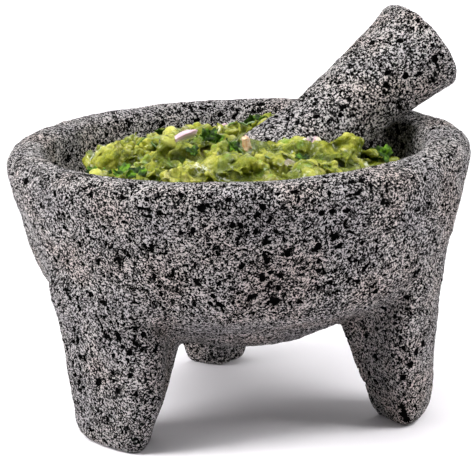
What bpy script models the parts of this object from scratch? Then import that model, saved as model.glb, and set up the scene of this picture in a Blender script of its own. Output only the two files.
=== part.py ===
"""Molcajete: a three-legged basalt mortar, its pestle and the guacamole it holds.

Metres, +Z up. The origin is on the ground under the middle of the bowl, the front faces -Y.
"""
import bpy
import bmesh
from math import cos, exp, pi, radians, sin, tau
from mathutils import Matrix, Vector, noise

MM = 0.001
BOWL_SEGMENTS = 72
PESTLE_SEGMENTS = 40
GAP = 0.35 * MM                 # clearance between pieces that touch

OUTSIDE_SHIFT = 1.2             # the hand-cut outside is this far off the hollow's axis, to +X (mm)

# Bowl outline from the middle of the underside, round the rim, to the middle of the hollow (mm).
BOWL_OUTSIDE = ((0, 31.2), (12, 31.9), (24, 34.2), (36, 38.6), (48, 44.4), (60, 50.6), (70, 55.3),
                (77, 58.9), (82, 62.6), (85.4, 66.8), (88, 71.6), (91.2, 78.5), (94.4, 87.5),
                (97.4, 98), (99.4, 107), (100, 112.5))
BOWL_RIM = ((99.6, 116), (98, 118.9), (95.2, 120.6), (91.5, 121))
BOWL_HOLLOW = ((87, 120.9), (83.8, 119.9), (82, 118), (81.2, 115), (80.5, 108), (79.2, 100), (76.6, 91),
               (72.2, 81.5), (65.6, 73), (56.6, 66), (46, 60.8), (34, 57.2), (22, 55.2), (11, 54.2),
               (0, 54))

# Legs: azimuth at the sole and at the bowl (degrees), width scale, depth scale, outward shift of
# the sole (mm).
LEGS = ((219.5, 222.5, 1.03, 1.05, 1.0), (344, 344, 0.88, 0.88, 3.0), (99, 99, 0.7, 0.74, 6.0))
# Leg levels (mm): height, distance of the outer face from the bowl's axis, width, depth.
LEG_LEVELS = ((0, 75.6, 34, 20.5), (0.9, 77.8, 39, 24), (3, 79.4, 44, 28), (7, 80.2, 48, 31),
              (15, 80.8, 54, 35.5), (26, 81.7, 60, 41), (37, 82.8, 64, 46.5), (47, 84.2, 66, 51),
              (54, 85.8, 65, 43), (61, 87.4, 61, 33), (67, 88.4, 56, 21), (74, 89.2, 49, 11))
LEG_POINTS = 30                 # points round one level

# Pestle: azimuth it leans towards, its slope, and the point of its axis over the rim.
PESTLE_AZIMUTH = radians(28)
PESTLE_SLOPE = radians(32.3)
PESTLE_OVER_RIM = Vector((64.1, 31.5, 138.1)) * MM
# Pestle outline along its axis from that point (mm): position, radius.
PESTLE_OUTLINE = ((-103.5, 0), (-103.1, 7), (-101.6, 13.5), (-98.8, 18.8), (-94.6, 22.4),
                  (-88.5, 24.2), (-80, 24), (-69, 22.4), (-57, 20.4), (-45, 18.5), (-34, 17.6),
                  (-23, 17.6), (-12, 18.2), (0, 19.2), (10, 20.1), (18, 21.3), (23.5, 22.4),
                  (26, 22.3), (27.8, 20.8), (28.9, 17), (29.6, 9.5), (29.8, 0))

# Guacamole: radius and height (mm) of its heaped top, from the wall of the hollow to the middle.
HEAP = ((76, 101.5), (73.2, 107), (69.2, 111.4), (64, 114.8), (56.5, 117.4), (47.5, 119.6),
        (38, 121.2), (28, 122.4), (18, 123), (9, 123.2), (0, 123.2))
HEAP_LUMP_HEIGHT = 1.6 * MM
HEAP_LUMP_SIZE = 13 * MM
HEAP_EDGE_FADE = 12             # distance from the wall within which the lumps fade out (mm)


def clear_scene():
    for obj in list(bpy.data.objects):
        bpy.data.objects.remove(obj, do_unlink=True)


def make_material(name, colour, roughness):
    mat = bpy.data.materials.new(name)
    mat.use_nodes = True
    shader = mat.node_tree.nodes["Principled BSDF"]
    shader.inputs["Base Color"].default_value = (*colour, 1)
    shader.inputs["Roughness"].default_value = roughness
    return mat


def add_object(name, bm, mat=None):
    """Make an object of a bmesh, with its faces turned outwards."""
    bmesh.ops.recalc_face_normals(bm, faces=bm.faces)
    mesh = bpy.data.meshes.new(name)
    bm.to_mesh(mesh)
    bm.free()
    if mat:
        mesh.materials.append(mat)
    obj = bpy.data.objects.new(name, mesh)
    bpy.context.scene.collection.objects.link(obj)
    return obj


def smooth_shade(obj, angle=radians(38)):
    obj.data.polygons.foreach_set("use_smooth", [True] * len(obj.data.polygons))
    obj.data.set_sharp_from_angle(angle=angle)


def revolve(outline, segments, adjust=None):
    """Turn an outline of (radius, height) in mm, with both ends on the axis, round Z.

    adjust(point, row) may move each point.
    """
    bm = bmesh.new()
    rings = []
    for row, (radius, height) in enumerate(outline):
        ring = []
        for i in range(segments if radius else 1):
            turn = tau * i / segments
            point = Vector((radius * cos(turn), radius * sin(turn), height)) * MM
            ring.append(bm.verts.new(adjust(point, row) if adjust else point))
        rings.append(ring)
    for low, high in zip(rings, rings[1:]):
        for i in range(segments):
            j = (i + 1) % segments
            corners = [low[i % len(low)], low[j % len(low)], high[j % len(high)], high[i % len(high)]]
            bm.faces.new(dict.fromkeys(corners))
    return bm


def leg_ring(outer, width, depth):
    """A rounded triangle: a broad outer face round the bowl and two sides that meet inwards."""
    corner = min(0.15 * width, 0.22 * depth)
    tips = ((outer - corner, -width / 2 + corner), (outer - corner, width / 2 - corner),
            (outer - depth + corner, 0))
    ring = []
    for i in range(LEG_POINTS):
        out = (cos(tau * i / LEG_POINTS), sin(tau * i / LEG_POINTS))
        pull = [exp((t[0] * out[0] + t[1] * out[1]) / (0.09 * width)) for t in tips]
        radius, across = (sum(p * t[k] for p, t in zip(pull, tips)) / sum(pull) + corner * out[k]
                          for k in (0, 1))
        ring.append((radius, across / outer))
    return ring


def make_leg(sole_azimuth, bowl_azimuth, width_scale, depth_scale, shift):
    """One leg, lofted from its sole to a tip buried in the bowl's wall."""
    bm = bmesh.new()
    rings = []
    for height, outer, width, depth in LEG_LEVELS:
        rise = height / LEG_LEVELS[-1][0]
        middle = radians(sole_azimuth + (bowl_azimuth - sole_azimuth) * rise)
        points = leg_ring(outer + shift * (1 - rise ** 4), width * width_scale, depth * depth_scale)
        rings.append([bm.verts.new((radius * MM * cos(middle + turn), radius * MM * sin(middle + turn),
                                    height * MM)) for radius, turn in points])
    for low, high in zip(rings, rings[1:]):
        for i in range(LEG_POINTS):
            j = (i + 1) % LEG_POINTS
            bm.faces.new((low[i], low[j], high[j], high[i]))
    bm.faces.new(rings[0])
    bm.faces.new(rings[-1])
    return add_object("leg_tool", bm)


def boolean(obj, tool, operation):
    """Apply a boolean to an object and throw its tool away."""
    modifier = obj.modifiers.new(tool.name, "BOOLEAN")
    modifier.operation = operation
    modifier.solver = "EXACT"
    modifier.object = tool
    tool.hide_render = True
    tool.display_type = "WIRE"
    solid = bpy.data.meshes.new_from_object(obj.evaluated_get(bpy.context.evaluated_depsgraph_get()))
    obj.modifiers.clear()
    obj.data = solid
    bpy.data.objects.remove(tool, do_unlink=True)


def shift_outside(point, row):
    """Move the outside of the bowl off the axis of its hollow."""
    if row < len(BOWL_OUTSIDE + BOWL_RIM):
        point.x += OUTSIDE_SHIFT * MM
    return point


def build_mortar():
    """Bowl and three legs, carved from one block."""
    stone = make_material("basalt", (0.16, 0.155, 0.16), 0.9)
    outline = BOWL_OUTSIDE + BOWL_RIM + BOWL_HOLLOW
    mortar = add_object("mortar", revolve(outline, BOWL_SEGMENTS, shift_outside), stone)
    for leg in LEGS:
        boolean(mortar, make_leg(*leg), "UNION")
    smooth_shade(mortar)


def pestle_matrix():
    """Local +Z runs up the pestle's own axis; the origin is the point over the rim."""
    turn = Matrix.Rotation(PESTLE_AZIMUTH, 4, "Z") @ Matrix.Rotation(pi / 2 - PESTLE_SLOPE, 4, "Y")
    return Matrix.Translation(PESTLE_OVER_RIM) @ turn


def build_pestle():
    stone = make_material("coarse basalt", (0.2, 0.195, 0.2), 0.85)
    outline = [(radius, along) for along, radius in PESTLE_OUTLINE]
    pestle = add_object("pestle", revolve(outline, PESTLE_SEGMENTS), stone)
    pestle.matrix_world = pestle_matrix()
    smooth_shade(pestle)


def pestle_room():
    """The pestle with a gap all round, for cutting its place in the guacamole."""
    outline = [(radius + GAP / MM if radius else 0, along) for along, radius in PESTLE_OUTLINE]
    room = add_object("pestle_room", revolve(outline, PESTLE_SEGMENTS))
    room.matrix_world = pestle_matrix() @ Matrix.Translation((0, 0, -GAP))
    return room


def lump(point, row):
    """Soft unevenness of the heap's top, fading out at the wall of the hollow."""
    edge_radius, edge_height = HEAP[0]
    if point.z < edge_height * MM:
        return point
    fade = min(1.0, (edge_radius - point.xy.length / MM) / HEAP_EDGE_FADE)
    spot = Vector((point.x, point.y, 0)) / HEAP_LUMP_SIZE
    point.z += HEAP_LUMP_HEIGHT * fade * noise.noise(spot + Vector((3.7, 1.3, 0.4)))
    return point


def hollow_fill():
    """The hollow's outline, a gap inside it, from its middle up to the edge of the heap."""
    rows = [(radius, height) for radius, height in reversed(BOWL_HOLLOW) if height < 100]
    grown = []
    for i, (radius, height) in enumerate(rows):
        before, after = rows[max(i - 1, 0)], rows[min(i + 1, len(rows) - 1)]
        along = Vector((after[0] - before[0], after[1] - before[1])).normalized()
        inward = Vector((-along.y, along.x)) * GAP / MM
        grown.append((radius + inward.x if radius else 0, height + inward.y))
    return tuple(grown)


def build_guacamole():
    """The heap in the hollow, with room for the pestle that stands in it."""
    paste = make_material("guacamole", (0.33, 0.4, 0.06), 0.4)
    bm = revolve(hollow_fill() + HEAP, BOWL_SEGMENTS, lump)
    guacamole = add_object("guacamole", bm, paste)
    boolean(guacamole, pestle_room(), "DIFFERENCE")
    smooth_shade(guacamole)


clear_scene()
build_mortar()
build_pestle()
bpy.context.view_layer.update()
build_guacamole()
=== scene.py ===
"""Looks of the molcajete: carved basalt, a coarser pestle and wet, chunky guacamole.

Coordinates in the script are millimetres unless a name says otherwise; meshes are in metres.
"""
from itertools import product
from math import cos, pi, radians, sin, tau

import bmesh
import bpy
import numpy as np
from mathutils import Euler, Matrix, Vector, kdtree
from mathutils.bvhtree import BVHTree


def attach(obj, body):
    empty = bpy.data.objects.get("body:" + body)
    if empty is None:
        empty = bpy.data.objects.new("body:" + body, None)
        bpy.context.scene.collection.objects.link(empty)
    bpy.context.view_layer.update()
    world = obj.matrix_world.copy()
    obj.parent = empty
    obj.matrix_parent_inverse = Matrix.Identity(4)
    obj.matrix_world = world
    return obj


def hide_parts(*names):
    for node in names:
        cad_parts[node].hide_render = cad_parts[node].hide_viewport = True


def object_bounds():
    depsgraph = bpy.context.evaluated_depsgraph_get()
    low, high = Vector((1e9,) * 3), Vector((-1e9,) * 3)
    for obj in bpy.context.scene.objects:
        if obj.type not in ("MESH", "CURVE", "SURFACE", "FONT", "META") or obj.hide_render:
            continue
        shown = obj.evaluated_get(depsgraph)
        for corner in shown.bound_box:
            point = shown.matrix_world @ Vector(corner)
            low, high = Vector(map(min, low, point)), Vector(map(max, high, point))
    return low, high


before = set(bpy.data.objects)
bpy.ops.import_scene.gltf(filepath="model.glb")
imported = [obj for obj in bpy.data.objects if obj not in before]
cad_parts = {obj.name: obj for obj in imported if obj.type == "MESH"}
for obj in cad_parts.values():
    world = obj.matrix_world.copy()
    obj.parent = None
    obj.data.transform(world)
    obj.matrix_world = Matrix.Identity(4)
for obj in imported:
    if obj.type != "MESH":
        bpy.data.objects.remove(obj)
CAD_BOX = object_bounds()
MM = 0.001

# Stone: mesh cells, and how far hand-cutting took the surface inside the plain shape.
MORTAR_CELL = 0.5
PESTLE_CELL = 0.42
CUT_BACK = 0.15
# Rounding of the inward corners: mesh cell and rounds of smoothing.
FILLET_CELL = 1.2
FILLET_ROUNDS = 260
# How far the wall is drawn in under the rim and filled where the legs run into it, and the
# heights where each starts, is full, starts to fade and ends.
WALL_DRAW = 0.7
WALL_FILL = 1.2
DRAW_HEIGHTS = (78, 90, 106, 115)
FILL_HEIGHTS = (52, 62, 68, 80)
# The hollow, for leaving its surface alone: it lies above this height and inside this radius.
HOLLOW_LOW = 53
HOLLOW_REACH = 84.5
# Deepest ragged and round bubbles, and the smallest distance to the sides of the CAD box.
RAGGED_DEPTH = 1.1
ROUND_DEPTH = 1.7
BOX_MARGIN = 0.05

# Guacamole: mesh cell, how far the plain heap is lowered under its lumps, how far out they lie.
HEAP_CELL = 0.6
HEAP_SINK = 6
HEAP_REACH = 69
# Height of the folds that leaves the surface where it was, and the deepest valley.
FOLD_LEVEL = 3.1
DEEPEST_FOLD = -2.0
# Heights between which the sinking and the folds fade in, and distances from the pestle's axis
# between which the folds reach their full height.
SINK_FADE = (95, 101)
FOLD_FADE = (96, 104)
CALM_FADE = (20, 32)
# The paste's clearance from the stone of the bowl and of the pestle.
HOLLOW_GAP = 0.5
PESTLE_GAP = 0.25
# How far the middle of a lump stays off the pestle's axis.
LUMP_OFF_PESTLE = 23
# Lumps of avocado: how many, smallest and largest half length, least and most sunk.
CHUNKS = ((55, (9, 15), (0.5, 4)), (36, (4, 7), (0.6, 2.5)), (30, (2, 3.6), (0.6, 1.6)))
# Where the heap is lower or higher than the plain shape: place, reach, rise.
SWELLS = ((-46, 16, 24, -5), (-20, 45, 20, -2), (32, -12, 16, 1.5))
# Where the paste is wettest, with a coat and a painted highlight of whitish speckles: place on the heap
# and reach.
WET_AND_HIGHLIGHT_SPOTS = ((-59, -1, 5), (-14, -45, 3.5), (54, -16, 3))
# A point on the pestle's axis and the way up it.
PESTLE_PLACE = np.array((64.1, 31.5, 138.1))
PESTLE_AZIMUTH = radians(28)
PESTLE_SLOPE = radians(32.3)
PESTLE_AXIS = np.array((cos(PESTLE_AZIMUTH) * cos(PESTLE_SLOPE), sin(PESTLE_AZIMUTH) * cos(PESTLE_SLOPE),
                        sin(PESTLE_SLOPE)))


# ---------------------------------------------------------------- mesh helpers

# Shifts the noise, so that no corner of its table lies at the origin.
NOISE_SHIFT = 7.3


def place_mesh(name, mesh):
    obj = bpy.data.objects.new(name, mesh)
    bpy.context.scene.collection.objects.link(obj)
    return obj


def new_object(name, points, faces):
    """An object from points in mm and faces."""
    mesh = bpy.data.meshes.new(name)
    mesh.from_pydata((points * MM).tolist(), [], faces)
    return place_mesh(name, mesh)


def object_from_bmesh(name, bm):
    mesh = bpy.data.meshes.new(name)
    bm.to_mesh(mesh)
    bm.free()
    return place_mesh(name, mesh)


def copy_of_node(node, name):
    """A separate object with a CAD node's shape."""
    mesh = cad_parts[node].data.copy()
    mesh.materials.clear()
    return place_mesh(name, mesh)


def surface_tree(mesh):
    """For finding points on a mesh's surface."""
    return BVHTree.FromPolygons([v.co for v in mesh.vertices], [p.vertices for p in mesh.polygons])


def surface_below(tree, x, y):
    """The highest point of a surface over (x, y), in mm, and the normal there."""
    place, normal, _, _ = tree.ray_cast(Vector((x * MM, y * MM, 1)), Vector((0, 0, -1)))
    return np.array(place) / MM, normal


def facing(normal, spin):
    """The rotation that stands a shape's z along normal after spinning it by the angles in spin."""
    turn = Vector(normal).to_track_quat("Z", "Y") @ Euler(spin).to_quaternion()
    return np.array(turn.to_matrix()).T


def apply_modifier(obj, kind, **settings):
    modifier = obj.modifiers.new(kind, kind)
    for name, value in settings.items():
        setattr(modifier, name, value)
    depsgraph = bpy.context.evaluated_depsgraph_get()
    mesh = bpy.data.meshes.new_from_object(obj.evaluated_get(depsgraph))
    obj.modifiers.clear()
    old = obj.data
    obj.data = mesh
    bpy.data.meshes.remove(old)
    mesh.name = obj.name


def remesh(obj, voxel):
    apply_modifier(obj, "REMESH", mode="VOXEL", voxel_size=voxel * MM, use_smooth_shade=True)


def relax(obj, rounds):
    apply_modifier(obj, "SMOOTH", factor=0.5, iterations=rounds)


def get_points(obj):
    """Vertex places in mm."""
    flat = np.zeros(len(obj.data.vertices) * 3, np.float32)
    obj.data.vertices.foreach_get("co", flat)
    return flat.reshape(-1, 3).astype(float) / MM


def set_points(obj, points):
    obj.data.vertices.foreach_set("co", (points * MM).astype(np.float32).ravel())
    obj.data.update()


def get_normals(obj):
    flat = np.zeros(len(obj.data.vertices) * 3, np.float32)
    obj.data.vertex_normals.foreach_get("vector", flat)
    return flat.reshape(-1, 3).astype(float)


def row_dot(a, b):
    return np.einsum("ij,ij->i", a, b)


def set_values(obj, name, values):
    """A value on each vertex, for the materials."""
    attribute = obj.data.attributes.new(name, "FLOAT", "POINT")
    attribute.data.foreach_set("value", values.astype(np.float32))


def smoothstep(x, low, high):
    t = np.clip((x - low) / (high - low), 0, 1)
    return t * t * (3 - 2 * t)


def band(x, start, full, fading, end):
    """1 from full to fading, 0 before start and after end."""
    return smoothstep(x, start, full) * (1 - smoothstep(x, fading, end))


def smooth_noise(points, size, seed, octaves=1):
    """Soft random values between about -1 and 1, changing over size mm."""
    total = np.zeros(len(points))
    weight = 0
    for octave in range(octaves):
        table = np.random.default_rng(seed + octave).uniform(-1, 1, (32, 32, 32))
        cell = points / size * 2 ** octave + NOISE_SHIFT
        base = np.floor(cell).astype(int)
        part = cell - base
        part = part * part * (3 - 2 * part)
        for corner in product((0, 1), repeat=3):
            i, j, k = ((base + corner) % 32).T
            share = np.prod(np.where(corner, part, 1 - part), axis=1)
            total += 0.5 ** octave * share * table[i, j, k]
        weight += 0.5 ** octave
    return total / weight * 1.4


def folds(points, size, seed):
    """Rounded folds with sharp valleys between them: 0 in a valley, up to about 1 on top."""
    return np.abs(smooth_noise(points, size, seed))


def ridges(points, size, seed):
    """Ragged crests: about 1 along a crest, 0 in the dips."""
    return (1 - np.abs(smooth_noise(points, size, seed)).clip(0, 1)) ** 2


def bubbles(points, spacing, smallest, largest, seed):
    """How far inside a bubble each point is (mm), for bubbles strewn one to a cell."""
    rng = np.random.default_rng(seed)
    offset = rng.uniform(0, 1, (16, 16, 16, 3))
    radius = smallest + (largest - smallest) * rng.uniform(0, 1, (16, 16, 16)) ** 2
    base = np.floor(points / spacing).astype(int)
    depth = np.zeros(len(points))
    for step in product((-1, 0, 1), repeat=3):
        cell = base + step
        i, j, k = (cell % 16).T
        centre = (cell + offset[i, j, k]) * spacing
        away = np.linalg.norm(points - centre, axis=1)
        np.maximum(depth, radius[i, j, k] - away, out=depth)
    return depth


def round_bowl(points, normals):
    """How far each point is from the bowl's axis, and how squarely it faces away from it."""
    reach = np.linalg.norm(points[:, :2], axis=1)
    return reach, row_dot(points[:, :2], normals[:, :2]) / np.maximum(reach, 1)


def keep_in_box(points):
    low, high = (np.array(corner) / MM for corner in CAD_BOX)
    return np.clip(points, low + BOX_MARGIN, high - BOX_MARGIN)


# ---------------------------------------------------------------- material helpers

class Nodes:
    """Short way to build a material's node tree."""

    def __init__(self, name):
        self.material = bpy.data.materials.new(name)
        self.material.use_nodes = True
        self.tree = self.material.node_tree
        self.shader = self.tree.nodes["Principled BSDF"]
        place = self.add("TexCoord").outputs["Object"]
        self.mm = self.add("VectorMath", {0: place, 1: (1 / MM,) * 3}, operation="MULTIPLY").outputs[0]

    def add(self, kind, inputs=None, **settings):
        node = self.tree.nodes.new("ShaderNode" + kind)
        for name, value in settings.items():
            setattr(node, name, value)
        for name, value in (inputs or {}).items():
            self.set(node, name, value)
        return node

    def set(self, node, name, value):
        if isinstance(value, bpy.types.NodeSocket):
            self.tree.links.new(value, node.inputs[name])
        else:
            node.inputs[name].default_value = value

    def noise(self, size, detail=2, roughness=0.5, vector=None):
        inputs = {"Vector": vector or self.mm, "Scale": 1 / size,
                  "Detail": detail, "Roughness": roughness}
        return self.add("TexNoise", inputs).outputs["Fac"]

    def sway(self, value, amount):
        """A value that is about 0.5 on average, moved to about 0 and scaled."""
        return self.math("MULTIPLY", self.math("SUBTRACT", value, 0.5), amount)

    def channel(self, colour, index):
        return self.add("SeparateColor", {0: colour}).outputs[index]

    def shifted(self, *by):
        """The place in mm, moved, so that two noises of one size differ."""
        return self.add("VectorMath", {0: self.mm, 1: by}).outputs[0]

    def value(self, name):
        return self.add("Attribute", attribute_name=name).outputs["Fac"]

    def math(self, operation, a, b=0.0):
        return self.add("Math", {0: a, 1: b}, operation=operation).outputs[0]

    def fade(self, value, low, high, start=0.0, end=1.0):
        """From start to end as value goes from low to high, with soft ends."""
        inputs = {"Value": value, "From Min": low, "From Max": high, "To Min": start, "To Max": end}
        return self.add("MapRange", inputs, interpolation_type="SMOOTHSTEP").outputs[0]

    def mix(self, share, a, b, blend="MIX"):
        """Two colours mixed. The node's inputs 0, 6 and 7 are the share and the colours."""
        node = self.add("Mix", data_type="RGBA", blend_type=blend)
        for index, value in ((0, share), (6, a), (7, b)):
            if not isinstance(value, (bpy.types.NodeSocket, float, int)):
                value = (*value, 1)
            self.set(node, index, value)
        return node.outputs[2]

    def ramp(self, value, stops):
        node = self.add("ValToRGB", {"Fac": value})
        while len(node.color_ramp.elements) < len(stops):
            node.color_ramp.elements.new(0.5)
        for element, (place, colour) in zip(node.color_ramp.elements, stops):
            element.position = place
            element.color = (*colour, 1)
        return node.outputs["Color"]

    def bump(self, height, distance, strength=1.0):
        inputs = {"Height": height, "Distance": distance * MM, "Strength": strength}
        return self.add("Bump", inputs).outputs["Normal"]

    def finish(self, **inputs):
        for name, value in inputs.items():
            self.set(self.shader, name.replace("_", " "), value)
        return self.material


def grey(level, warmth=0.0):
    return (level * (1 + warmth), level, level * (1 - 0.4 * warmth))


def basalt(name, grain, tone):
    """Vesicular basalt: salt-and-pepper grain, white crystals, bubbles of every size with painted shade
    inside them.
    """
    n = Nodes(name)
    warp = n.add("TexNoise", {"Vector": n.mm, "Scale": 1.1 / grain, "Detail": 1.0})
    shift = n.add("VectorMath", {0: warp.outputs["Color"], 1: (grain * 0.8,) * 3}, operation="MULTIPLY")
    place = n.add("VectorMath", {0: n.mm, 1: shift.outputs[0]}, operation="ADD").outputs[0]

    grains = n.add("TexVoronoi", {"Vector": place, "Scale": 1.6 / grain})
    chance = n.channel(grains.outputs["Color"], 0)
    cloud = n.noise(1.0 * grain, 4, 0.9)
    mixed = n.math("ADD", cloud, n.sway(chance, 0.36))
    patchy = n.math("ADD", mixed, n.sway(n.noise(7, 2, 0.5), 0.18))
    body = n.ramp(patchy, (
        (0.45, grey(0.003 * tone)), (0.48, grey(0.012 * tone)),
        (0.507, grey(0.045 * tone, 0.04)), (0.532, grey(0.2 * tone, 0.05)),
        (0.558, grey(0.6 * tone, 0.05)), (0.585, grey(1.1 * tone, 0.03))))

    flecks = n.add("TexVoronoi", {"Vector": place, "Scale": 0.6 / grain})
    picked = n.fade(n.channel(flecks.outputs["Color"], 1), 0.84, 0.86)
    fleck = n.math("MULTIPLY", picked, n.fade(flecks.outputs["Distance"], 0.22, 0.32, 1.0, 0.0))
    body = n.mix(n.math("MULTIPLY", fleck, 0.9), body, grey(1.0 * tone, 0.02))

    # Black dots for bubbles too small to cut into the mesh: painted shade of small holes.
    pores = n.add("TexVoronoi", {"Vector": place, "Scale": 0.75 / grain})
    pore_size = n.fade(n.channel(pores.outputs["Color"], 2), 0.5, 1.0, 0.02, 0.4)
    painted_pore_shade = n.fade(n.math("SUBTRACT", pore_size, pores.outputs["Distance"]), -0.05, 0.05)
    body = n.mix(n.math("MULTIPLY", painted_pore_shade, 0.85), body, grey(0.004))

    # Near black inside the bubble holes cut into the mesh: painted shade.
    ragged = n.math("ADD", n.value("pit_shade"), n.sway(n.noise(1.0, 2, 0.6), 1.2))
    pit_shade = n.fade(ragged, 0.3, 0.62)
    coloured = n.mix(pit_shade, body, grey(0.005))
    patches = n.ramp(n.noise(26, 2, 0.5), (
        (0.35, (0.92, 0.9, 0.93)), (0.5, (1.02, 0.99, 0.99)), (0.65, (1.1, 1.0, 0.97))))
    coloured = n.mix(1.0, coloured, patches, "MULTIPLY")

    normal = n.bump(mixed, 2.4 * grain)
    rough = n.fade(mixed, 0.5, 0.66, 0.92, 0.6)
    crystal_shine = n.fade(mixed, 0.46, 0.62, 0.06, 0.5)
    shine = n.math("MULTIPLY", crystal_shine, n.math("SUBTRACT", 1.0, pit_shade))
    return n.finish(Base_Color=coloured, Roughness=rough, Normal=normal, Specular_IOR_Level=shine)


# ---------------------------------------------------------------- stone pieces

def fill_creases(obj):
    """Round the inward corners outside the hollow, as where a leg runs into the bowl."""
    remesh(obj, FILLET_CELL)
    points = get_points(obj)
    normals = get_normals(obj)
    relax(obj, FILLET_ROUNDS)
    rise = np.maximum(row_dot(get_points(obj) - points, normals), 0)
    reach, outward = round_bowl(points, normals)
    faces_in = (outward < 0.3) & (normals[:, 2] > -0.3)
    rise[(points[:, 2] > HOLLOW_LOW) & (reach < HOLLOW_REACH) & faces_in] = 0
    set_points(obj, points + normals * rise[:, None])


def carve(obj, seed, share, size):
    """Hand-cut unevenness, then the bubbles that the surface cuts open.

    share is how much of the surface the ragged bubbles take, size is their size in mm.
    """
    points = get_points(obj)
    normals = get_normals(obj)
    rise = (0.35 * smooth_noise(points, 24, seed) + 0.3 * smooth_noise(points, 8, seed + 5)
            + 0.2 * smooth_noise(points, 2.6, seed + 9, 2)) - CUT_BACK
    warp = np.stack([smooth_noise(points, 2.8, seed + 20 + k, 2) for k in range(3)], 1)
    torn = smooth_noise(points + 0.9 * warp, size, seed + 30, 3)
    torn += 0.1 * smooth_noise(points, 15, seed + 35)
    edge = np.quantile(torn, 1 - share)
    torn = smoothstep(torn, edge, edge + 0.2)
    hole = bubbles(points + 0.8 * warp, spacing=4.6, smallest=0.7, largest=1.9, seed=seed + 40)
    pit_shade = np.maximum(torn, smoothstep(hole, 0, 0.45))
    depth = np.maximum(RAGGED_DEPTH * torn, np.minimum(1.5 * hole, ROUND_DEPTH))
    # Where the bubbles lie, for the painted shade inside them.
    set_values(obj, "pit_shade", pit_shade)
    set_points(obj, keep_in_box(points + normals * (rise - depth)[:, None]))


def dress_wall(obj):
    """Draw the wall in a little below the rim, and fill it where the legs run into it."""
    points = get_points(obj)
    normals = get_normals(obj)
    reach, outward = round_bowl(points, normals)
    outer = smoothstep(outward, 0.2, 0.6) * smoothstep(reach, 60, 68)
    filled = WALL_FILL * band(points[:, 2], *FILL_HEIGHTS)
    drawn_in = WALL_DRAW * band(points[:, 2], *DRAW_HEIGHTS)
    rise = outer * (filled - drawn_in)
    set_points(obj, points + normals * rise[:, None])


def build_mortar():
    obj = copy_of_node("mortar", "mortar_stone")
    fill_creases(obj)
    remesh(obj, MORTAR_CELL)
    relax(obj, 8)
    dress_wall(obj)
    carve(obj, seed=11, share=0.15, size=1.9)
    obj.data.materials.append(basalt("mortar_basalt", grain=0.92, tone=0.66))
    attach(obj, "mortar")
    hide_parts("mortar")


def build_pestle():
    obj = copy_of_node("pestle", "pestle_stone")
    remesh(obj, PESTLE_CELL)
    relax(obj, 6)
    carve(obj, seed=71, share=0.10, size=2.1)
    obj.data.materials.append(basalt("pestle_basalt", grain=1.05, tone=0.64))
    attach(obj, "pestle")
    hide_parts("pestle")


# ---------------------------------------------------------------- guacamole

HEAP = surface_tree(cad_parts["guacamole"].data)


def swell(points):
    """How much higher than the plain shape the heap stands at each point."""
    rise = np.zeros(len(points))
    for x, y, reach, height in SWELLS:
        rise += height * np.exp(-((points[:, :2] - (x, y)) ** 2).sum(1) / reach ** 2)
    return rise


def ball(subdivisions):
    """Vertices and faces of a ball of radius 1."""
    bm = bmesh.new()
    bmesh.ops.create_icosphere(bm, subdivisions=subdivisions, radius=1)
    vertices = np.array([v.co for v in bm.verts])
    faces = [[v.index for v in f.verts] for f in bm.faces]
    bm.free()
    return vertices, faces


def add_chunks(obj, rng, count, size, sink):
    """Strew lumps of mashed avocado over the heap, and return where they are."""
    unit, unit_faces = ball(3)
    lumps = []
    faces = []
    centres = []
    while len(centres) < count:
        reach = HEAP_REACH * rng.uniform() ** 0.5
        turn = rng.uniform(0, tau)
        place, normal = surface_below(HEAP, reach * cos(turn), reach * sin(turn))
        scale = rng.uniform(*size)
        axes = scale * np.array([1, rng.uniform(0.4, 0.7), rng.uniform(0.28, 0.45)])
        spin = (rng.normal(0, 0.4), rng.normal(0, 0.4), rng.uniform(0, tau))
        centre = place - np.array(normal) * (rng.uniform(*sink) + axes[2])
        centre[2] += swell(centre[None])[0]
        if round_pestle(centre[None])[2][0] < LUMP_OFF_PESTLE + 0.9 * axes[1]:
            continue
        uneven = 1 + 0.55 * smooth_noise(unit * scale + centre * 3, 4.5, 301, 2)
        faces += [[i + len(lumps) * len(unit) for i in face] for face in unit_faces]
        lumps.append((unit * uneven[:, None] * axes) @ facing(normal, spin) + centre)
        centres.append(centre)
    chunks = new_object("chunks", np.concatenate(lumps), faces)
    with bpy.context.temp_override(active_object=obj, object=obj, selected_objects=[obj, chunks],
                                   selected_editable_objects=[obj, chunks]):
        bpy.ops.object.join()
    return centres


def hollow_radius():
    """Heights and radii of the mortar's hollow, read from the CAD node."""
    tree = surface_tree(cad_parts["mortar"].data)
    heights = np.arange(56, 120, 2.0)
    radii = [tree.ray_cast(Vector((0, 0, z * MM)), Vector((0, -1, 0)))[3] / MM for z in heights]
    return heights, np.array(radii)


def round_pestle(points):
    """For each point: place along the pestle's axis, the way from the axis to it, and how far that is."""
    along = (points - PESTLE_PLACE) @ PESTLE_AXIS
    off = points - PESTLE_PLACE - along[:, None] * PESTLE_AXIS
    return along, off, np.linalg.norm(off, axis=1)


def press_into_hollow(points):
    """Draw in what reaches past the wall of the hollow."""
    heights, radii = hollow_radius()
    reach = np.linalg.norm(points[:, :2], axis=1)
    allowed = np.interp(points[:, 2], heights, radii) - HOLLOW_GAP
    shrink = np.where(reach > allowed, allowed / np.maximum(reach, 1), 1)
    points[:, :2] *= shrink[:, None]
    return points


def press_off_pestle(points):
    """Push the paste out of the pestle, square to its axis."""
    pestle = np.array([v.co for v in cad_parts["pestle"].data.vertices]) / MM
    along, _, reach = round_pestle(pestle)
    order = np.argsort(along)
    where, off, away = round_pestle(points)
    needed = np.interp(where, along[order], reach[order], left=0, right=0) + PESTLE_GAP
    inside = (where > along.min()) & (where < along.max()) & (away < needed)
    grow = np.where(inside, needed / np.maximum(away, 0.5), 1)
    return points + off * (grow - 1)[:, None]


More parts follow.
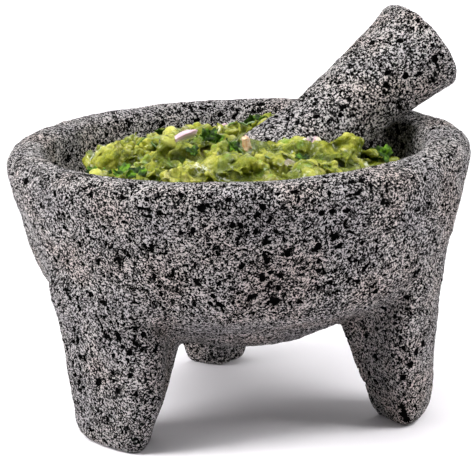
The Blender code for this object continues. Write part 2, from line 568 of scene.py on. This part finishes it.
def guacamole_material():
    n = Nodes("guacamole_paste")
    lump_tone = n.math("MULTIPLY", n.value("tone"), 0.3)
    blend = n.math("ADD", lump_tone, n.math("MULTIPLY", n.noise(6, 4, 0.6), 0.7))
    flesh = n.ramp(blend, (
        (0.30, (0.07, 0.095, 0.005)), (0.45, (0.14, 0.17, 0.008)), (0.60, (0.25, 0.265, 0.016)),
        (0.75, (0.44, 0.43, 0.08))))
    fibre = n.ramp(n.noise(1.1, 4, 0.8), (
        (0.3, (0.55, 0.62, 0.4)), (0.5, (1, 1, 1)), (0.7, (1.35, 1.25, 1.5))))
    flesh = n.mix(1.0, flesh, fibre, "MULTIPLY")

    # Darker and greener in the broad low places of the heap: painted shade.
    low = n.fade(n.value("fold"), -2.2, 0.9)
    flesh = n.mix(low, n.mix(1.0, flesh, (0.40, 0.48, 0.25), "MULTIPLY"), flesh)
    # Near black in the creases between the folds: painted shade.
    painted_crease_shade = n.fade(n.value("crest"), -0.8, 0.05)
    flesh = n.mix(painted_crease_shade, (0.045, 0.062, 0.003), flesh)
    # Pale yellow on the crests: painted light.
    crest = n.fade(n.value("crest"), 0.25, 1.2, 0.0, 0.6)
    flesh = n.mix(crest, flesh, (0.58, 0.58, 0.12))
    green = n.fade(n.noise(7, 3, 0.6, n.shifted(50, 0, 0)), 0.58, 0.7, 0.0, 0.5)
    flesh = n.mix(green, flesh, (0.13, 0.27, 0.02))
    brown = n.fade(n.noise(10, 3, 0.6), 0.6, 0.74, 0.0, 0.4)
    flesh = n.mix(brown, flesh, (0.22, 0.16, 0.06))

    height = n.math("ADD", n.noise(1.6, 4, 0.7), n.math("MULTIPLY", n.noise(0.6, 2, 0.6), 0.3))
    normal = n.bump(height, 1.3)
    rough = n.fade(n.noise(3, 3, 0.6), 0.38, 0.62, 0.16, 0.5)
    # Whitish speckles in the wettest spots: painted highlight, besides the real coat there.
    glints = n.fade(n.noise(1.3, 3, 0.6), 0.5, 0.56)
    painted_highlight = n.math("MULTIPLY", n.fade(n.value("wet"), 0.25, 0.7), glints)
    flesh = n.mix(n.math("MULTIPLY", painted_highlight, 0.65), flesh, (0.8, 0.82, 0.72))
    film = n.fade(n.noise(5, 3, 0.6), 0.47, 0.6, 0.0, 0.8)
    return n.finish(Base_Color=flesh, Roughness=rough, Normal=normal, Subsurface_Weight=0.15,
                    Subsurface_Radius=(1.0, 1.0, 0.3), Subsurface_Scale=1.2 * MM, IOR=1.4,
                    Specular_IOR_Level=0.35, Coat_Weight=n.math("MAXIMUM", film, n.value("wet")),
                    Coat_Roughness=0.1)


def height_over(obj, rounds):
    """How far each point stands above a smoothed copy of its own surface, in mm."""
    copy = place_mesh("smoothed", obj.data.copy())
    relax(copy, rounds)
    rise = row_dot(get_points(obj) - get_points(copy), get_normals(copy))
    bpy.data.objects.remove(copy)
    return rise


def fold_surface(obj):
    """Work the top of the heap into ragged folds, calmer beside the pestle."""
    points = get_points(obj)
    normals = get_normals(obj)
    drift = np.stack([smooth_noise(points, 14, 221 + k, 2) for k in range(3)], 1)
    flow = points * (0.65, 1, 1) + 3.5 * drift
    rise = (4.6 * folds(flow, 12, 211) + 1.7 * ridges(flow, 6.5, 213) + 1.2 * folds(points, 2.8, 216)
            + 0.35 * smooth_noise(points, 1.6, 217, 2) - FOLD_LEVEL)
    top = smoothstep(points[:, 2], *FOLD_FADE)
    calm = 0.3 + 0.7 * smoothstep(round_pestle(points)[2], *CALM_FADE)
    rise = np.maximum(rise, DEEPEST_FOLD) * top * calm
    set_points(obj, points + normals * rise[:, None])
    relax(obj, 2)


def nearest(centres, points):
    """For each point, the number of the nearest centre."""
    tree = kdtree.KDTree(len(centres))
    for number, centre in enumerate(centres):
        tree.insert(centre, number)
    tree.balance()
    return [tree.find(point)[1] for point in points]


def build_guacamole():
    rng = np.random.default_rng(5)
    obj = copy_of_node("guacamole", "guacamole_heap")
    points = get_points(obj)
    points[:, 2] += (swell(points) - HEAP_SINK) * smoothstep(points[:, 2], *SINK_FADE)
    set_points(obj, points)
    centres = []
    for count, size, sink in CHUNKS:
        centres += add_chunks(obj, rng, count, size, sink)
    remesh(obj, HEAP_CELL)
    relax(obj, 3)
    fold_surface(obj)
    points = press_off_pestle(press_into_hollow(get_points(obj)))
    set_points(obj, keep_in_box(points))

    # Heights over a lightly and a broadly smoothed copy, for the painted light on the crests and the
    # painted shade in creases and low places.
    set_values(obj, "crest", height_over(obj, 14))
    set_values(obj, "fold", height_over(obj, 90))
    tones = rng.uniform(0, 1, len(centres))
    set_values(obj, "tone", tones[nearest(centres, points)])
    # Where the paste is wettest: the coat there, and a painted highlight.
    glare = [np.exp(-((points[:, :2] - (x, y)) ** 2).sum(1) / size ** 2) for x, y, size in WET_AND_HIGHLIGHT_SPOTS]
    set_values(obj, "wet", np.max(glare, axis=0))
    obj.data.materials.append(guacamole_material())
    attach(obj, "paste")
    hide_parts("guacamole")
    return obj


# ---------------------------------------------------------------- what is chopped into it

# Each leaf: place on the heap, lift, size, the way it faces, turn.
LEAVES = (
    (-59, -20, 1.5, 5.0, (-0.3, -0.7, 0.6), 0.4), (-53, -27, 1.5, 5.0, (0.1, -0.8, 0.6), 2.0),
    (-47, -33, 1, 5.0, (0.2, -0.7, 0.7), 3.4), (-41, -39, 0.5, 4.5, (0.0, -0.8, 0.6), 0.9),
    (-13, 11, 3, 5.0, (0.2, -0.9, 0.4), 1.2), (-9, 13, 3.5, 4.6, (-0.5, -0.8, 0.4), 4.0),
    (-10, 9, 2, 4.0, (0.5, -0.8, 0.3), 2.9), (58, -5, 2, 5.4, (0.1, -0.8, 0.6), 0.9),
    (64, -6, 2, 5.0, (0.5, -0.7, 0.5), 2.6), (-18, -22, 0, 3.0, (0.0, -0.5, 0.9), 5.0),
    (28, -30, 0, 3.2, (0.2, -0.6, 0.8), 0.2), (-30, 40, 0, 5.0, (0.0, 0.5, 0.9), 2.2),
    (10, 52, 0, 5.5, (0.1, 0.6, 0.8), 0.5), (-1, -27, 0.5, 3.4, (-0.2, -0.6, 0.8), 3.0))
# Each bit of onion: place, half sizes, spin about its own axes, share sunk, which is below 0
# where it stands clear. The red onion and the tomato are told the same way.
ONIONS = (
    (-23, -13, (7.4, 1.9, 1.2), (0.7, 0.35, 0.1), -0.1), (-18, 30, (3.0, 2.2, 1.8), (0.0, 0.0, 0.2), 0.4),
    (34, -7, (2.2, 2.0, 3.2), (0.1, 0.2, 0.4), 0.2), (30, -18, (1.6, 1.3, 0.9), (0.2, 0.0, 2.2), 0.35),
    (-32, 50, (4.0, 1.8, 1.2), (0.4, 0.0, 2.4), 0.2), (22, 46, (3.4, 2.0, 1.3), (0.2, 0.0, 1.4), 0.2),
    (-4, 58, (2.2, 1.4, 0.9), (0.3, 0.0, 0.9), 0.4))
RED_ONION = (24, -43, (2.8, 3.6, 0.5), (0.2, 0, 0.1), 0.7)
TOMATO = (5, -14, (1.7, 1.3, 3.3), (0, 0.2, 0.6), -0.3)
# Each stalk: where it starts and ends, radius, how far it bows sideways.
STEMS = (
    ((-3, -25), (14, -39), 0.5, 2), ((-44, 14), (-28, 4), 0.6, -2), ((20, 34), (-6, 44), 0.65, 3))
# Mesh detail of a leaf and a stalk, and over how many steps either way a stalk rests on the folds.
LEAF_RINGS = 10
LEAF_SPOKES = 72
STEM_STEPS = 28
STEM_SIDES = 10
STEM_REST = 3
# Thickness of a leaf, and how far it lies above the paste.
LEAF_THICK = 0.35
LEAF_GAP = 0.2


def coriander_material():
    n = Nodes("coriander_leaf")
    leaf = n.ramp(n.noise(3.5, 3, 0.6), (
        (0.34, (0.005, 0.014, 0.001)), (0.5, (0.018, 0.048, 0.002)), (0.64, (0.09, 0.2, 0.006))))
    leaf = n.mix(n.fade(n.value("vein"), 0.55, 1.0, 0.0, 0.5), leaf, (0.16, 0.30, 0.02))
    normal = n.bump(n.noise(0.9, 3, 0.6), 0.4, 0.7)
    return n.finish(Base_Color=leaf, Roughness=0.5, Normal=normal, Specular_IOR_Level=0.1,
                    Coat_Weight=0.06, Coat_Roughness=0.1)


def stem_material():
    n = Nodes("coriander_stem")
    colour = n.ramp(n.noise(4, 3, 0.6), ((0.35, (0.02, 0.055, 0.005)), (0.65, (0.10, 0.18, 0.02))))
    return n.finish(Base_Color=colour, Roughness=0.35, Normal=n.bump(n.noise(0.8, 2), 0.3, 0.6),
                    Coat_Weight=0.3, Coat_Roughness=0.12)


def onion_material(name, flesh, skin):
    """Translucent layers, darker towards the skin side of the slice."""
    n = Nodes(name)
    side = n.math("ADD", n.value("across"), n.math("MULTIPLY", n.noise(2, 3, 0.6), 0.5))
    colour = n.mix(n.fade(side, 0.45, 1.15), flesh, skin)
    layers = n.math("SINE", n.math("MULTIPLY", n.value("across"), 14.0))
    normal = n.bump(n.math("ADD", layers, n.noise(0.8, 3, 0.6)), 0.12, 0.8)
    return n.finish(Base_Color=colour, Roughness=0.22, Normal=normal, Subsurface_Weight=0.6,
                    Subsurface_Radius=(1.0, 0.9, 0.8), Subsurface_Scale=1.5 * MM, Coat_Weight=0.6,
                    Coat_Roughness=0.06)


def tomato_material():
    n = Nodes("tomato_flesh")
    colour = n.ramp(n.noise(1.8, 3, 0.6), ((0.35, (0.38, 0.21, 0.08)), (0.65, (0.58, 0.45, 0.32))))
    return n.finish(Base_Color=colour, Roughness=0.2, Normal=n.bump(n.noise(1.0, 3, 0.6), 0.3, 0.6),
                    Subsurface_Weight=0.4, Subsurface_Radius=(1.0, 0.3, 0.1), Subsurface_Scale=1.2 * MM,
                    Coat_Weight=0.6, Coat_Roughness=0.06)


def lay(points, tree):
    """Lift what lies in the paste on top of it, clear of both stones."""
    for point in points:
        place, _, _, _ = tree.ray_cast(Vector((point[0] * MM, point[1] * MM, 1)), Vector((0, 0, -1)))
        if place is not None:
            point[2] = max(point[2], place[2] / MM + LEAF_GAP)
    return press_off_pestle(press_into_hollow(points))


def add_food(obj, material):
    obj.data.materials.clear()
    obj.data.materials.append(material)
    obj.data.shade_smooth()
    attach(obj, "paste")


def build_leaf(name, tree, leaf, material, seed):
    """A piece of coriander leaf: three toothed lobes, crumpled, laid against the heap."""
    x, y, lift, size, normal, turn = leaf
    angle = np.arange(LEAF_SPOKES) * tau / LEAF_SPOKES
    lobe = np.abs(np.cos(1.5 * angle))
    reach = size * (0.42 + 0.58 * lobe ** 0.7) * (1 + 0.12 * np.cos(12 * angle))
    out = ((np.arange(LEAF_RINGS) + 1) / LEAF_RINGS)[:, None]
    u = np.concatenate([[0], (out * reach * np.cos(angle)).ravel()])
    v = np.concatenate([[0], (out * reach * np.sin(angle)).ravel()])
    flat = np.stack([u, v, np.full(len(u), 40.0 * seed)], 1)
    curl = np.concatenate([[0], (out ** 2 * np.sin(3 * angle + seed)).ravel()])
    w = size * (0.3 * smooth_noise(flat, 0.55 * size, 400 + seed) + 0.1 * curl
                + 0.1 * smooth_noise(flat, 0.22 * size, 450 + seed))
    place, _ = surface_below(tree, x, y)
    points = np.stack([u, v, w], 1) @ facing(normal, (0, 0, turn)) + place + (0, 0, lift)
    points = lay(points, tree)

    faces = [(0, 1 + k, 1 + (k + 1) % LEAF_SPOKES) for k in range(LEAF_SPOKES)]
    for ring, k in product(range(LEAF_RINGS - 1), range(LEAF_SPOKES)):
        a = 1 + ring * LEAF_SPOKES + k
        b = 1 + ring * LEAF_SPOKES + (k + 1) % LEAF_SPOKES
        faces.append((a, a + LEAF_SPOKES, b + LEAF_SPOKES, b))
    obj = new_object(name, points, faces)
    middle = np.clip(1.3 * np.cos(1.5 * angle) ** 40, 0, 1)
    set_values(obj, "vein", np.concatenate([[1], (middle * (1 - 0.7 * out)).ravel()]))
    apply_modifier(obj, "SOLIDIFY", thickness=LEAF_THICK * MM, offset=0.0)
    add_food(obj, material)


def build_stem(name, tree, stem, material):
    """A stalk lying over the folds."""
    start, end, radius, bow = stem
    along = np.linspace(0, 1, STEM_STEPS)
    x = start[0] + (end[0] - start[0]) * along
    y = start[1] + (end[1] - start[1]) * along + bow * np.sin(pi * along)
    ground = np.array([surface_below(tree, a, b)[0][2] for a, b in zip(x, y)])
    padded = np.pad(ground, STEM_REST, mode="edge")
    near = [padded[k:k + 2 * STEM_REST + 1] for k in range(STEM_STEPS)]
    height = np.array([stretch.max() * 0.5 + stretch.mean() * 0.5 for stretch in near])
    route = np.stack([x, y, height], 1)

    bm = bmesh.new()
    loops = []
    for k, point in enumerate(route):
        way = Vector(route[min(k + 1, STEM_STEPS - 1)] - route[max(k - 1, 0)]).normalized()
        turn = way.to_track_quat("Z", "Y")
        thick = radius * (1 - 0.3 * along[k]) * (1 + 0.1 * sin(9 * along[k]))
        angles = np.arange(STEM_SIDES) * tau / STEM_SIDES
        corners = [Vector(point) + turn @ Vector((thick * cos(a), thick * sin(a), 0)) for a in angles]
        loops.append([bm.verts.new(corner * MM) for corner in corners])
    for one, two in zip(loops, loops[1:]):
        for k in range(STEM_SIDES):
            after = (k + 1) % STEM_SIDES
            bm.faces.new((one[k], one[after], two[after], two[k]))
    bm.faces.new(loops[0][::-1])
    bm.faces.new(loops[-1])
    add_food(object_from_bmesh(name, bm), material)


def build_bit(name, tree, bit, material, seed):
    """A diced bit: a rounded, slightly bent block, partly sunk in the paste."""
    x, y, axes, spin, sunk = bit
    unit, faces = ball(4)
    block = np.sign(unit) * np.abs(unit) ** 0.6
    local = block * np.array(axes) * (1 + 0.25 * smooth_noise(unit * 4, 2.5, 500 + seed, 2))[:, None]
    local[:, 2] -= 0.25 * axes[0] * (block[:, 0] ** 2)
    place, normal = surface_below(tree, x, y)
    points = local @ facing(normal, spin) + place + np.array(normal) * (axes[2] * (1 - 2 * sunk))
    points = press_off_pestle(press_into_hollow(points))
    obj = new_object(name, points, faces)
    set_values(obj, "across", block[:, 1] * 0.5 + 0.5)
    add_food(obj, material)


def build_garnish(paste):
    tree = surface_tree(paste.data)
    leaf_look = coriander_material()
    stem_look = stem_material()
    white = onion_material("onion_white", (0.50, 0.50, 0.34), (0.44, 0.30, 0.34))
    red = onion_material("onion_red", (0.17, 0.19, 0.05), (0.15, 0.12, 0.06))
    for number, leaf in enumerate(LEAVES, 1):
        build_leaf(f"coriander_leaf_{number}", tree, leaf, leaf_look, number)
    for number, onion in enumerate(ONIONS, 1):
        build_bit(f"onion_piece_{number}", tree, onion, white, number)
    build_bit("red_onion_piece", tree, RED_ONION, red, 21)
    build_bit("tomato_piece", tree, TOMATO, tomato_material(), 22)
    for number, stem in enumerate(STEMS, 1):
        build_stem(f"coriander_stem_{number}", tree, stem, stem_look)


# ---------------------------------------------------------------- stage, in metres

FLOOR_REACH = 6
# Softboxes: name, place, width and height, watts, what it points at.
MIDDLE = (0, 0, 0.08)
SOFTBOXES = (
    ("left", (-0.42, -0.18, 0.41), (0.25, 0.4), 4.7, MIDDLE),
    ("right", (0.42, -0.12, 0.42), (0.25, 0.4), 3.2, MIDDLE),
    ("top", (0.0, -0.03, 0.6), (0.35, 0.35), 2.1, MIDDLE),
    ("front_left", (-0.5, -0.5, 0.75), (0.4, 0.4), 0.8, MIDDLE),
    ("back", (0.0, 0.5, 0.45), (0.6, 0.3), 0.8, MIDDLE),
    ("far_floor", (-0.1, 1.0, 0.5), (1.6, 0.7), 9, (-0.1, 1.15, 0)))
# The room's brightness at the front and at the back, and where it changes along the way back.
ROOM = {"From Min": -0.3, "From Max": 0.5, "To Min": 0.05, "To Max": 0.34}


def build_floor():
    n = Nodes("floor_white")
    shade = n.ramp(n.noise(600, 1, 0.5), ((0.3, (0.96, 0.935, 0.97)), (0.7, (0.975, 0.95, 0.985))))
    material = n.finish(Base_Color=shade, Roughness=0.7)
    bm = bmesh.new()
    bmesh.ops.create_grid(bm, x_segments=8, y_segments=8, size=FLOOR_REACH)
    floor = object_from_bmesh("floor", bm)
    floor.data.materials.append(material)


def add_softbox(name, place, size, watts, aim):
    light = bpy.data.lights.new(name, "AREA")
    light.shape = "RECTANGLE"
    light.size, light.size_y = size
    light.energy = watts
    obj = bpy.data.objects.new(name, light)
    obj.location = place
    obj.rotation_euler = (Vector(aim) - Vector(place)).to_track_quat("-Z", "Y").to_euler()
    obj.visible_camera = False
    bpy.context.scene.collection.objects.link(obj)


def build_light():
    """Softboxes, and a white room that is brighter at the back than at the front."""
    world = bpy.data.worlds.new("studio")
    world.use_nodes = True
    tree = world.node_tree
    background = tree.nodes["Background"]
    place = tree.nodes.new("ShaderNodeTexCoord")
    parts = tree.nodes.new("ShaderNodeSeparateXYZ")
    fade = tree.nodes.new("ShaderNodeMapRange")
    fade.interpolation_type = "SMOOTHSTEP"
    for name, value in ROOM.items():
        fade.inputs[name].default_value = value
    tree.links.new(place.outputs["Generated"], parts.inputs[0])
    tree.links.new(parts.outputs["Y"], fade.inputs["Value"])
    tree.links.new(fade.outputs[0], background.inputs["Strength"])
    background.inputs["Color"].default_value = (1, 1, 1, 1)
    bpy.context.scene.world = world
    for softbox in SOFTBOXES:
        add_softbox(*softbox)


def build_camera():
    """A long lens, looking down a little and rolled a little."""
    focus = Vector((0, 0, 0.07))
    distance = 1.1532
    pitch = radians(13.8)
    roll = radians(-2.0)
    camera = bpy.data.cameras.new("camera")
    camera.sensor_width = 36
    camera.lens = 201.4
    camera.shift_x = -0.0041
    camera.shift_y = 0.0468
    camera.clip_end = 20
    obj = bpy.data.objects.new("camera", camera)
    place = focus + distance * Vector((0, -cos(pitch), sin(pitch)))
    turn = Matrix.Rotation(pi / 2 - pitch, 4, "X") @ Matrix.Rotation(roll, 4, "Z")
    obj.matrix_world = Matrix.Translation(place) @ turn
    bpy.context.scene.collection.objects.link(obj)
    bpy.context.scene.camera = obj
    bpy.context.scene.view_settings.view_transform = "Standard"


build_mortar()
build_pestle()
build_garnish(build_guacamole())
build_floor()
build_light()
build_camera()
